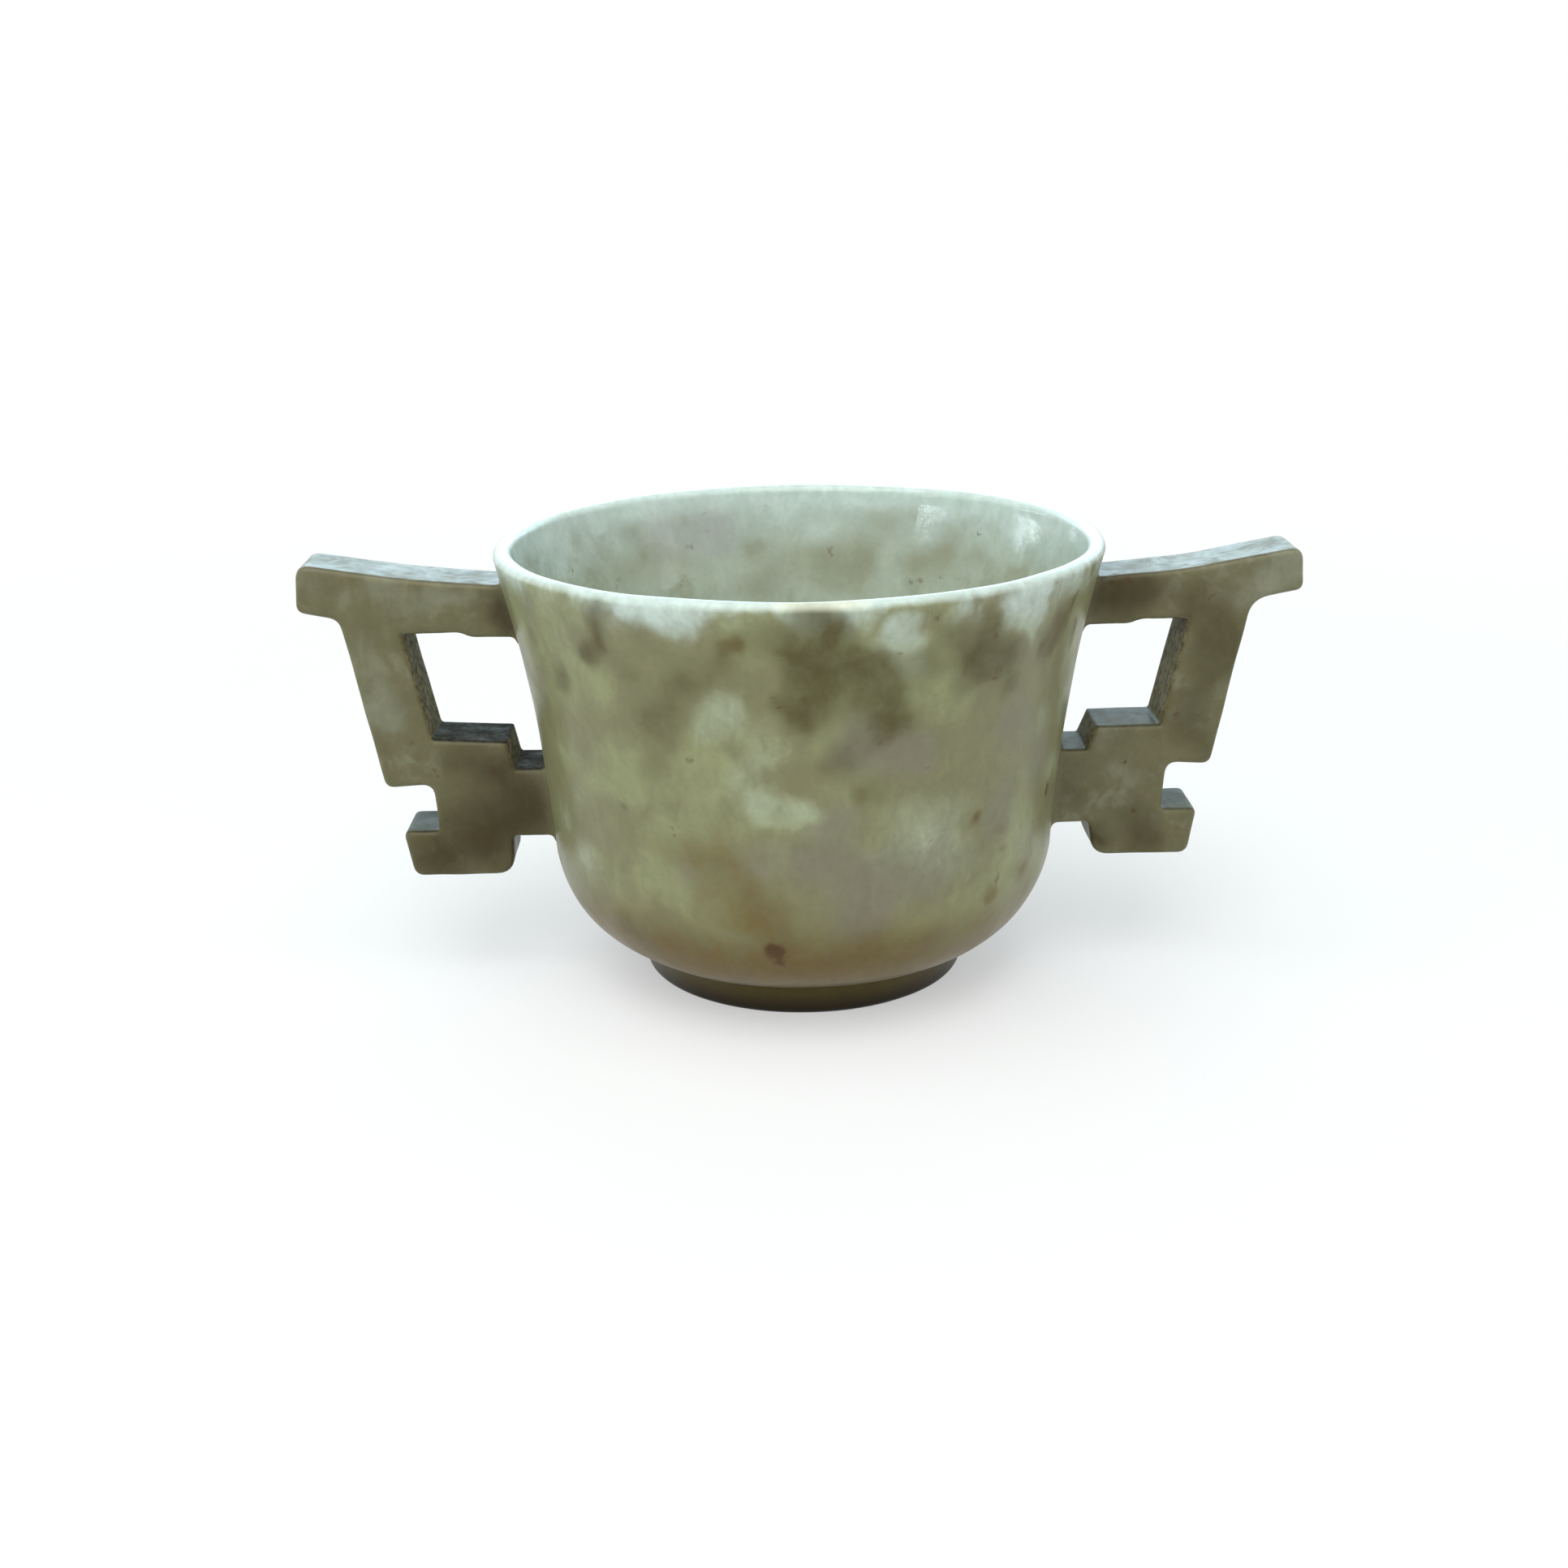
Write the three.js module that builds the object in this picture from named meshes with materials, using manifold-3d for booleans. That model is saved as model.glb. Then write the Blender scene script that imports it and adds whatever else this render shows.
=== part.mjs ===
import * as THREE from "three";
import { mergeVertices } from "three/addons/utils/BufferGeometryUtils.js";
import Module from "manifold-3d";

// A two-handled cup carved from one block of jade. Millimetres, +Z up.
// The origin is the centre of the plane the foot rests on, and the handles lie along X.

// Bowl
const CUP_HEIGHT = 55.4;
const RIM_RADIUS = 37.5;
const LIP_THICKNESS = 2.2;
const LIP_ROLL = 1.1; // height of the lip's rounding
const BELLY_RADIUS = 31.7; // where the wall turns from the base into the side
const BELLY_HEIGHT = 16.5;
const BELLY_WALL = 2.9;
const FLOOR_THICKNESS = 3.6;

// Foot ring
const FOOT_HEIGHT = 4.2;
const FOOT_RADIUS = 21.3; // where the ring meets the bowl
const FOOT_DRAW = 0.9; // how much narrower it is on the table
const FOOT_WALL = 3.6;
const FOOT_EDGE = 0.7; // rounding beside the resting face

// Handles: flat angular plates left standing on the wall. Reach and set-backs are measured
// along X, and drops downward from the rim's plane, so the handles follow the bowl.
const HANDLE_THICKNESS = 9;
const HANDLE_EDGE = 0.6; // softened arris all round the plate
const HANDLE_GAP = 0.3; // clearance to the bowl's wall
const HANDLE_REACH = 24.4; // the thumb bar's tip, outward from the rim
const BAR_DROP = 4.85; // the bar's top face at the rim
const BAR_RISE = 3; // how much higher its tip lies
const BAR_DEPTH = 5.7;
const BAR_HAUNCH = 0.6; // the bar's thickening where it springs from the wall
const HAUNCH_REACH = 4.6; // how far that thickening runs out from the rim
const HAUNCH_RUN = 1.5; // length of the slope that ends it
const TIP_DEPTH = 5.4;
const TIP_LEAN = 0.4; // how far the tip's end face leans in at the top
const TIP_HEEL = 1; // how much lower the tip's underside ends at the post
const POST_SET_BACK = 5.8; // from the bar's tip to the post's head
const POST_SLANT = 4.2; // how much further in the post's foot lies than its head
const POST_WIDTH = 7.6;
const POST_HEEL = 0.3; // how much lower the post's foot ends on its outer side
const WINDOW_HEIGHT = 13.6; // finger gap between the bar and the block
const BLOCK_INNER = 0.5; // from the rim in to the block's inner side
const BLOCK_SHOULDER = 1.2; // how far that side leans in below
const STRUT_DROP = 27.6; // the strut's upper face
const STRUT_DEPTH = 9.4;
const STRUT_LEAN = 0.7; // how far the block's inner side leans in under the strut
const NOTCH_DROP = 29.5; // the notch's upper face
const NOTCH_HEIGHT = 6.2;
const NOTCH_DEPTH = 4.6; // from the hook's tip inward
const NOTCH_LEAN = 0.5; // how far the notch's back leans out at the top
const HOOK_SET_BACK = 11.6; // from the bar's tip to the hook's tip
const HOOK_DEPTH = 6;
const HOOK_LEAN = 1.1; // how far the hook's end face leans in below

// The handles share one drawing but were cut by hand, and each strays from it a little.
const RIGHT_STRAY = {
  post: -0.5, // outward
  hook: -0.2, // outward
  down: -0.4, // all that lies below the finger gap
  root: -0.25, // the bar's top face at the rim, upward
  hollow: 0.6, // dip of the bar's top face on its way to the tip
  tip: 0, // the tip's thickening, above and below
  strut: 0.3, // the strut's thickening, below
  cove: 2.2, // rounding between the tip's underside and the post
  fall: 0, // how much lower the block's top ends at its inner side
  shoulder: 0, // extra lean of that side
  heel: 0, // extra lean of the block's inner side under the strut
};
const LEFT_STRAY = {
  post: 0.65,
  hook: 0.45,
  down: 0.6,
  root: 0.25,
  hollow: 0,
  tip: 0.3,
  strut: -0.4,
  cove: 1.3,
  fall: 0.5,
  shoulder: -0.35,
  heel: -0.5,
};

// Fineness of the facets
const TURNED_SEGMENTS = 88;
const WALL_STEPS = 9;
const LIP_STEPS = 8;
const EDGE_STEPS = 3;
const CORNER_STEPS = 3;

const wasm = await Module();
wasm.setup();

function point(across, up) {
  return new THREE.Vector2(across, up);
}

// Outer wall of the bowl, from the foot's joint up to the lip, as [radius, height]: a full
// round base, then a side that flares to the rim. It can be grown to leave a clearance.
function outerWall(growth = 0) {
  const turn = BELLY_RADIUS - FOOT_RADIUS;
  const rise = BELLY_HEIGHT - FOOT_HEIGHT;
  const base = new THREE.CubicBezierCurve(
    point(FOOT_RADIUS, FOOT_HEIGHT),
    point(FOOT_RADIUS + 0.44 * turn, FOOT_HEIGHT + 0.08 * rise),
    point(BELLY_RADIUS - 0.1 * turn, FOOT_HEIGHT + 0.43 * rise),
    point(BELLY_RADIUS, BELLY_HEIGHT),
  );
  const side = flaredSide(BELLY_RADIUS, BELLY_HEIGHT, RIM_RADIUS);
  const points = [...base.getPoints(WALL_STEPS), ...side.getPoints(WALL_STEPS).slice(1)];
  return points.map((p) => point(p.x + growth, p.y));
}

// The side rises almost straight from the belly and bells out under the lip.
function flaredSide(bellyRadius, bellyHeight, mouthRadius) {
  const top = CUP_HEIGHT - LIP_ROLL;
  const rise = CUP_HEIGHT - bellyHeight;
  const flare = mouthRadius - bellyRadius;
  return new THREE.CubicBezierCurve(
    point(bellyRadius, bellyHeight),
    point(bellyRadius + 0.17 * flare, bellyHeight + 0.42 * rise),
    point(bellyRadius + 0.44 * flare, bellyHeight + 0.63 * rise),
    point(mouthRadius, top),
  );
}

// Inner wall, from the lip down to the middle of the dished floor.
function innerWall() {
  const belly = BELLY_RADIUS - BELLY_WALL;
  const turn = BELLY_HEIGHT + 0.5 * BELLY_WALL;
  const floor = FOOT_HEIGHT + FLOOR_THICKNESS;
  const side = flaredSide(belly, turn, RIM_RADIUS - LIP_THICKNESS);
  const dish = new THREE.CubicBezierCurve(
    point(belly, turn),
    point(0.96 * belly, floor + 0.35 * (turn - floor)),
    point(0.78 * belly, floor),
    point(0, floor),
  );
  return [...side.getPoints(WALL_STEPS).reverse(), ...dish.getPoints(WALL_STEPS).slice(1)];
}

// The lip rounds over from the outer wall to the inner one.
function lip() {
  const middle = RIM_RADIUS - 0.5 * LIP_THICKNESS;
  const arc = new THREE.EllipseCurve(
    middle, CUP_HEIGHT - LIP_ROLL, 0.5 * LIP_THICKNESS, LIP_ROLL, 0, Math.PI,
  );
  return arc.getPoints(LIP_STEPS).slice(1, -1);
}

// Turns a closed profile about the vertical axis.
function turned(profile) {
  return new THREE.LatheGeometry(profile, TURNED_SEGMENTS).rotateX(Math.PI / 2);
}

function bowl() {
  return turned([point(0, FOOT_HEIGHT), ...outerWall(), ...lip(), ...innerWall()]);
}

// A quarter round beside the foot's resting face, about a centre at the given radius.
function footEdge(radius, from, to) {
  const arc = new THREE.EllipseCurve(radius, FOOT_EDGE, FOOT_EDGE, FOOT_EDGE, from, to);
  return arc.getPoints(EDGE_STEPS);
}

// The ring under the bowl: open below, drawn in towards the table, its top flat on the bowl.
function footRing() {
  const inner = FOOT_RADIUS - FOOT_WALL;
  const rest = FOOT_RADIUS - FOOT_DRAW;
  return turned([
    point(inner, FOOT_HEIGHT),
    ...footEdge(inner + FOOT_EDGE, Math.PI, 1.5 * Math.PI),
    ...footEdge(rest - FOOT_EDGE, 1.5 * Math.PI, 2 * Math.PI),
    point(FOOT_RADIUS, FOOT_HEIGHT),
    point(inner, FOOT_HEIGHT),
  ]);
}

// The least rounding with which the softened arris can follow an outward corner, from half
// of the angle between the corner's two sides.
function arrisRoom(halfAngle) {
  return HANDLE_EDGE * Math.cos(halfAngle) / Math.sin(halfAngle) ** 2;
}

// A closed outline from corners [x, z, rounding], clockwise. Each rounding leaves the arris
// its room, within what the shorter of the corner's two sides allows.
function roundedOutline(corners) {
  const outline = new THREE.Shape();
  const count = corners.length;
  corners.forEach(([x, z, drawn], i) => {
    const corner = point(x, z);
    const [lastX, lastZ] = corners[(i + count - 1) % count];
    const [nextX, nextZ] = corners[(i + 1) % count];
    const before = point(lastX - x, lastZ - z);
    const after = point(nextX - x, nextZ - z);
    const outward = drawn > 0 && before.cross(after) > 0;
    const wanted = outward ? Math.max(drawn, arrisRoom(0.5 * before.angleTo(after))) : drawn;
    const rounding = Math.min(wanted, 0.45 * before.length(), 0.45 * after.length());
    const start = before.setLength(rounding).add(corner);
    const end = after.setLength(rounding).add(corner);
    if (i === 0) {
      outline.moveTo(start.x, start.y);
    } else {
      outline.lineTo(start.x, start.y);
    }
    if (rounding > 0) {
      outline.quadraticCurveTo(x, z, end.x, end.y);
    }
  });
  return outline;
}

// The right handle's outline, clockwise from the bar's root: thumb bar with its flared tip,
// slanted post, open notch, hook, strut to the wall, stepped block and finger gap.
function handleOutline(stray) {
  const wall = 0.5 * BELLY_RADIUS; // well inside the bowl, whose wall then trims the plate
  const tip = RIM_RADIUS + HANDLE_REACH;
  const barTop = CUP_HEIGHT - BAR_DROP;
  const barUnder = barTop - BAR_DEPTH;
  const barMiddle = RIM_RADIUS + 0.4 * HANDLE_REACH;
  const haunchEnd = RIM_RADIUS + HAUNCH_REACH;
  const tipTop = barTop + BAR_RISE + stray.tip;
  const tipUnder = tipTop - TIP_DEPTH - 2 * stray.tip;
  const postHead = tip - POST_SET_BACK + stray.post;
  const postFoot = postHead - POST_SLANT;
  const blockTop = barUnder - WINDOW_HEIGHT;
  const blockInner = RIM_RADIUS - BLOCK_INNER;
  const strutTop = CUP_HEIGHT - STRUT_DROP - stray.down;
  const strutUnder = strutTop - STRUT_DEPTH - stray.strut;
  const notchTop = CUP_HEIGHT - NOTCH_DROP - stray.down;
  const notchUnder = notchTop - NOTCH_HEIGHT;
  const hookTip = tip - HOOK_SET_BACK + stray.hook;
  const hookUnder = notchUnder - HOOK_DEPTH;
  const notchBack = hookTip - NOTCH_DEPTH;
  const slant = POST_SLANT / (barUnder - notchTop);
  const postInner = (z) => postHead - POST_WIDTH - slant * (barUnder - z);
  return roundedOutline([
    [wall, barTop + stray.root, 0],
    [RIM_RADIUS, barTop + stray.root, 2],
    [barMiddle, barTop + 0.35 * BAR_RISE - stray.hollow, 6],
    [tip - TIP_LEAN, tipTop, 1.8],
    [tip, tipUnder, 1.1],
    [postHead, tipUnder - TIP_HEEL, stray.cove],
    [postFoot, notchTop - POST_HEEL, 1.1],
    [notchBack + NOTCH_LEAN, notchTop, 1.5],
    [notchBack, notchUnder, 0.6],
    [hookTip, notchUnder, 1.2],
    [hookTip - HOOK_LEAN, hookUnder, 1.2],
    [blockInner, hookUnder, 2.6],
    [blockInner - STRUT_LEAN - stray.heel, strutUnder, 0.6],
    [wall, strutUnder, 0],
    [wall, strutTop, 0],
    [blockInner - BLOCK_SHOULDER - stray.shoulder, strutTop, 0.4],
    [blockInner, blockTop - stray.fall, 0],
    [postInner(blockTop), blockTop, 0.5],
    [postInner(barUnder), barUnder, 0.5],
    [haunchEnd, barUnder, 0.7],
    [haunchEnd - HAUNCH_RUN, barUnder - BAR_HAUNCH, 0.6],
    [wall, barUnder - BAR_HAUNCH, 0],
  ]);
}

// Shared vertices are merged and triangles of no area left out, which makes a closed solid.
function solidOf(geometry) {
  const bare = geometry.clone();
  bare.deleteAttribute("normal");
  bare.deleteAttribute("uv");
  const merged = mergeVertices(bare, 1e-4);
  const index = merged.index.array;
  const corners = [];
  for (let i = 0; i < index.length; i += 3) {
    const [a, b, c] = index.slice(i, i + 3);
    if (a !== b && b !== c && c !== a) {
      corners.push(a, b, c);
    }
  }
  return new wasm.Manifold(new wasm.Mesh({
    numProp: 3,
    vertProperties: new Float32Array(merged.attributes.position.array),
    triVerts: new Uint32Array(corners),
  }));
}

function geometryOf(solid) {
  const mesh = solid.getMesh();
  const geometry = new THREE.BufferGeometry();
  geometry.setAttribute("position", new THREE.BufferAttribute(mesh.vertProperties, 3));
  geometry.setIndex(new THREE.BufferAttribute(mesh.triVerts, 1));
  return geometry;
}

// The room that the bowl and its mouth take up, with the handles' clearance all round.
function bowlRoom() {
  const wall = outerWall(HANDLE_GAP);
  const below = 0;
  const above = 2 * CUP_HEIGHT;
  return turned([
    point(0, below),
    point(wall[0].x, below),
    ...wall,
    point(wall.at(-1).x, above),
    point(0, above),
  ]);
}

// A plate of the handle's outline with softened edges, trimmed to the curve of the wall.
function handle(stray) {
  const plate = new THREE.ExtrudeGeometry(handleOutline(stray), {
    depth: HANDLE_THICKNESS - 2 * HANDLE_EDGE,
    bevelSize: HANDLE_EDGE,
    bevelOffset: -HANDLE_EDGE,
    bevelThickness: HANDLE_EDGE,
    bevelSegments: 2,
    curveSegments: CORNER_STEPS,
  });
  plate.translate(0, 0, HANDLE_EDGE - 0.5 * HANDLE_THICKNESS);
  plate.rotateX(Math.PI / 2);
  return geometryOf(solidOf(plate).subtract(solidOf(bowlRoom())));
}

function stonePiece(name, geometry, color, roughness) {
  const material = new THREE.MeshStandardMaterial({ color, roughness, metalness: 0 });
  const mesh = new THREE.Mesh(geometry, material);
  mesh.name = name;
  return mesh;
}

const cup = new THREE.Group();
cup.add(stonePiece("bowl", bowl(), 0x9a9c7a, 0.3));
cup.add(stonePiece("foot_ring", footRing(), 0x6e6a48, 0.38));
cup.add(stonePiece("handle_right", handle(RIGHT_STRAY), 0x8a8968, 0.34));

const leftHandle = stonePiece("handle_left", handle(LEFT_STRAY), 0x8c8f6c, 0.34);
leftHandle.rotation.z = Math.PI;
cup.add(leftHandle);

export default cup;
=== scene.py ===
"""A two-handled cup carved from one block of jade, with its stone, polish and studio stage.

Every length is in metres, in the frame's own axes: the handles lie along X, +Z is up and the
photographed side is -Y.
"""

import math

import bmesh
import bpy
from mathutils import Matrix, Vector, noise
from mathutils.bvhtree import BVHTree


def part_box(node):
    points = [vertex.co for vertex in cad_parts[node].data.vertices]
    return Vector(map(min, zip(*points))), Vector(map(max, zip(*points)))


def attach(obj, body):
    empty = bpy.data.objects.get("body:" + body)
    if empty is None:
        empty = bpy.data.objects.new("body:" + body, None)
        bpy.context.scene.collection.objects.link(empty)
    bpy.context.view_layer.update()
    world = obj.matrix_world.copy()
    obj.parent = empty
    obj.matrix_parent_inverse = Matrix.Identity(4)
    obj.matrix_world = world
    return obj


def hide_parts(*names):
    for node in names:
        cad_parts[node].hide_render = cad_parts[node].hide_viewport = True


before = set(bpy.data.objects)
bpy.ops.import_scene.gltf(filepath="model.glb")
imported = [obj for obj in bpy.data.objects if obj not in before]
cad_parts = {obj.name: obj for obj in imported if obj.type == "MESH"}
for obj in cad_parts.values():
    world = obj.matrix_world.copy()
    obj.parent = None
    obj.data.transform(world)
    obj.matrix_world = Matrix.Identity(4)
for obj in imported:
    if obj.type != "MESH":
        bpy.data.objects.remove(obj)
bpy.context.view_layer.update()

bl_info = {
    "name": "Jade Cup",
    "version": (1, 0, 0),
    "blender": (4, 5, 0),
    "location": "View3D > Sidebar > Jade Cup",
    "description": "Builds a two-handled carved jade cup and its studio stage",
    "category": "Add Mesh",
}

MM = 0.001
BODY = "root"
BOWL_LOW, BOWL_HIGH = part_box("bowl")
FOOT_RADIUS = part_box("foot_ring")[1].x
HANDLE_LOW, HANDLE_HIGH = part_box("handle_right")
RIM = BOWL_HIGH.z


def length(name, description, default):
    """A property that holds a length in metres."""
    return bpy.props.FloatProperty(
        name=name, description=description, default=default, unit="LENGTH", precision=5
    )


def angle(name, description, degrees):
    """A property that holds an angle, given here in degrees."""
    return bpy.props.FloatProperty(
        name=name, description=description, default=math.radians(degrees), subtype="ANGLE"
    )


def pixels(name, description, default):
    """A property counted in pixels of the photograph."""
    return bpy.props.FloatProperty(name=name, description=description, default=default, subtype="PIXEL")


def stone_colour(name, description, default):
    """A property that holds a colour of the stone, in linear light."""
    return bpy.props.FloatVectorProperty(
        name=name, description=description, default=default, subtype="COLOR", min=0, max=1, size=3
    )


class CupSizes(bpy.types.PropertyGroup):
    """Sizes of the carved cup"""

    rim_radius: length("Rim radius", "Outside of the lip", BOWL_HIGH.x)
    height: length("Height", "From the table to the lip", RIM)
    lip_thickness: length("Lip thickness", "Across the rounded lip", 2.2 * MM)
    lip_roll: length("Lip roll", "Height of the lip's rounding", 1.1 * MM)
    belly_radius: length("Belly radius", "Where the base turns into the side", 31.7 * MM)
    belly_height: length("Belly height", "Height of that turn", 16.5 * MM)
    belly_wall: length("Belly wall", "Thickness of the wall at the belly", 2.9 * MM)
    floor_thickness: length("Floor thickness", "Stone under the middle of the inside", 3.6 * MM)
    foot_height: length("Foot height", "From the table to the bowl's underside", BOWL_LOW.z)
    foot_radius: length("Foot radius", "Where the foot ring meets the bowl", FOOT_RADIUS)
    foot_draw: length("Foot draw", "How much narrower the ring is on the table", 0.9 * MM)
    foot_wall: length("Foot wall", "Width of the foot ring", 3.6 * MM)
    foot_edge: length("Foot edge", "Rounding beside the resting face", 0.7 * MM)
    carving: length("Carving unevenness", "How far the hand-cut wall strays", 0.12 * MM)


class HandleSizes(bpy.types.PropertyGroup):
    """Sizes of the flat angular handles"""

    thickness: length("Thickness", "Front to back", HANDLE_HIGH.y - HANDLE_LOW.y)
    reach: length("Reach", "The thumb bar's tip, outward from the rim", 24.4 * MM)
    bar_drop: length("Bar drop", "The bar's top face below the lip, at the rim", 4.85 * MM)
    bar_rise: length("Bar rise", "How much higher the bar's tip lies", 3.0 * MM)
    bar_depth: length("Bar depth", "Thickness of the thumb bar", 5.7 * MM)
    bar_haunch: length("Bar haunch", "The bar's thickening at the wall", 0.6 * MM)
    haunch_reach: length("Haunch reach", "How far that thickening runs out", 4.6 * MM)
    tip_depth: length("Tip depth", "Height of the bar's tip", 5.4 * MM)
    post_set_back: length("Post set back", "From the bar's tip to the post's head", 5.8 * MM)
    post_slant: length("Post slant", "How much further in the post's foot lies", 4.2 * MM)
    post_width: length("Post width", "Width of the slanted post", 7.6 * MM)
    window_height: length("Window height", "Height of the finger gap", 13.6 * MM)
    block_inner: length("Block inner side", "The block's inner side, in from the rim", 0.5 * MM)
    shoulder: length("Shoulder", "How far that side leans in below", 1.2 * MM)
    strut_drop: length("Strut drop", "The strut's upper face below the lip", 27.6 * MM)
    strut_depth: length("Strut depth", "Height of the strut", 9.4 * MM)
    notch_drop: length("Notch drop", "The notch's upper face below the lip", 29.5 * MM)
    notch_height: length("Notch height", "Height of the open notch", 6.2 * MM)
    notch_depth: length("Notch depth", "From the hook's tip inward", 4.6 * MM)
    hook_set_back: length("Hook set back", "From the bar's tip to the hook's tip", 11.6 * MM)
    hook_depth: length("Hook depth", "Height of the lower hook", 6.0 * MM)
    arris: length("Arris", "Rounding of the arrises, front and back", 0.7 * MM)
    root: length("Root", "How deep the handle is let into the wall", 1.0 * MM)
    grain: length("Remesh size", "Size of the mesh's squares", 0.28 * MM)
    fillet: length("Root fillet", "Rounding where the handle grows out of the wall", 0.9 * MM)


STRAYS = {
    "post": "The post, outward",
    "hook": "The hook, outward",
    "down": "All below the finger gap, downward",
    "rise": "The bar's top face at the rim, upward",
    "hollow": "Dip of the bar's top face",
    "tip": "The tip's thickening, above and below",
    "strut": "The strut's thickening, below",
    "cove": "Rounding between the tip's underside and the post",
    "fall": "How much lower the block's top ends at its inner side",
    "shoulder": "Extra lean of the block's inner side",
    "heel": "Extra lean of that side under the strut",
}


def strays(title, meaning, worked, **amounts):
    """A property group for how one hand-cut handle strays from the shared drawing, given in mm."""
    entries = {
        name: length(name.capitalize(), description, amounts.get(name, 0.0) * MM)
        for name, description in STRAYS.items()
    }
    # Worked sets how much of the saw-cut finish the upward faces take; its dark colour there is partly
    # painted shade.
    entries["worked"] = bpy.props.FloatProperty(
        name="Worked", description="How rough the openwork's upward faces are", default=worked
    )
    return type(title, (bpy.types.PropertyGroup,), {"__doc__": meaning, "__annotations__": entries})


RightStray = strays(
    "RightStray", "How the right handle strays from the shared drawing", worked=0.55,
    post=-0.5, hook=-0.2, down=-0.4, rise=-0.25, hollow=0.6, strut=0.3, cove=2.2,
)
LeftStray = strays(
    "LeftStray", "How the left handle strays from the shared drawing", worked=1.0,
    post=0.65, hook=0.45, down=0.6, rise=0.25, tip=0.3, strut=-0.4, cove=1.3,
    fall=0.5, shoulder=-0.35, heel=-0.5,
)


class StoneColours(bpy.types.PropertyGroup):
    """Colours of the jade, in linear light"""

    celadon: stone_colour("Celadon", "Main body of the stone", (0.192, 0.186, 0.094))
    yellow: stone_colour("Yellow", "Yellowish green zones", (0.252, 0.266, 0.132))
    mauve: stone_colour("Mauve", "Greyish lilac zones", (0.188, 0.174, 0.124))
    pale: stone_colour("Pale", "Milky patches", (0.328, 0.363, 0.24))
    # Lip: partly the thin stone's blue, partly a painted glow of light through it and a painted highlight
    # of the rounded lip.
    lip: stone_colour("Lip", "Thin bluish stone at the lip", (0.55, 0.655, 0.61))
    # Cream: partly warmer stone, partly the painted highlight along the front of the lip.
    cream: stone_colour("Cream", "Warmer stone at the front of the lip", (0.68, 0.69, 0.52))
    olive: stone_colour("Olive", "Olive-brown clouds", (0.068, 0.056, 0.012))
    # Base and foot: partly the stone's brown, partly painted shade on the lower wall and the foot ring.
    base: stone_colour("Base", "Brownish stone, most of it around the foot", (0.122, 0.076, 0.012))
    foot: stone_colour("Foot", "Dark stone of the foot ring", (0.074, 0.052, 0.006))
    # Painted contact shadow where the foot ring rests on the table.
    contact_shadow: stone_colour("Sole", "Darkest stone, at the resting face", (0.008, 0.005, 0.001))
    rust: stone_colour("Rust", "Iron stains and pits", (0.065, 0.026, 0.001))
    # Inside: paler than the outer stone partly as a painted glow of light through the thin wall.
    inside: stone_colour("Inside", "Pale stone of the inner wall", (0.425, 0.505, 0.435))
    hollow: stone_colour("Hollow", "Greener stone, lower down the inner wall", (0.405, 0.462, 0.37))
    haze: stone_colour("Haze", "Lilac zones of the inner wall", (0.38, 0.41, 0.37))
    vein: stone_colour("Vein", "Olive zones of the inner wall", (0.215, 0.212, 0.125))
    # Handle: partly the denser stone, partly painted shade, as the handles stand away from the light.
    handle: stone_colour("Handle", "Denser stone of the handles", (0.120, 0.109, 0.055))
    ash: stone_colour("Ash", "Greyish mottles of the handles", (0.205, 0.205, 0.138))
    # Dark: partly darker stone, partly painted shade low on the handles and at the wall; also laid on the
    # bars' upward faces as painted shade.
    dark: stone_colour("Dark", "Darkest stone of the handles", (0.037, 0.024, 0.003))
    stain: stone_colour("Stain", "Stained sides of the openwork", (0.160, 0.138, 0.075))
    # Worked: partly rough saw-cut stone, partly painted shade under the parts above these faces.
    worked: stone_colour("Worked", "Saw-cut tops of the openwork", (0.030, 0.028, 0.020))


class PhotoCamera(bpy.types.PropertyGroup):
    """The photograph's viewpoint"""

    distance: length("Distance", "From the camera to the point it is aimed by", 0.260)
    aim_x: length("Aim X", "Point on the cup's middle plane", -5.79 * MM)
    aim_z: length("Aim Z", "Point on the cup's middle plane", 22.67 * MM)
    pitch: angle("Pitch", "Downward tilt", 18.29)
    roll: angle("Roll", "Turn about the view line", -1.19)
    focal: pixels("Focal length", "From the eye to the picture's plane", 2490.7)
    centre_x: pixels("Centre X", "Where the view line meets the photograph", 932.2)
    centre_y: pixels("Centre Y", "Where the view line meets the photograph", 970.4)
    image_size: pixels("Image size", "Side of the square photograph", 1932)


# Shader maths written as expressions


class Value:
    """A socket in a node tree; arithmetic on it adds Math nodes."""

    def __init__(self, nodes, socket):
        self.nodes = nodes
        self.socket = socket

    def math(self, operation, *values):
        """The result of a Math node."""
        inputs = dict(enumerate(values))
        return self.nodes.add("ShaderNodeMath", {"operation": operation}, inputs)

    def __add__(self, other):
        return self.math("ADD", self, other)

    __radd__ = __add__

    def __sub__(self, other):
        return self.math("SUBTRACT", self, other)

    def __rsub__(self, other):
        return self.math("SUBTRACT", other, self)

    def __mul__(self, other):
        return self.math("MULTIPLY", self, other)

    __rmul__ = __mul__

    def most(self, other):
        """The greater of this value and another."""
        return self.math("MAXIMUM", self, other)

    def ramp(self, low, high, to_low=0.0, to_high=1.0):
        """Eases from to_low to to_high while the value runs from low to high."""
        inputs = {"Value": self, "From Min": low, "From Max": high, "To Min": to_low, "To Max": to_high}
        return self.nodes.add("ShaderNodeMapRange", {"interpolation_type": "SMOOTHSTEP"}, inputs)


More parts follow.
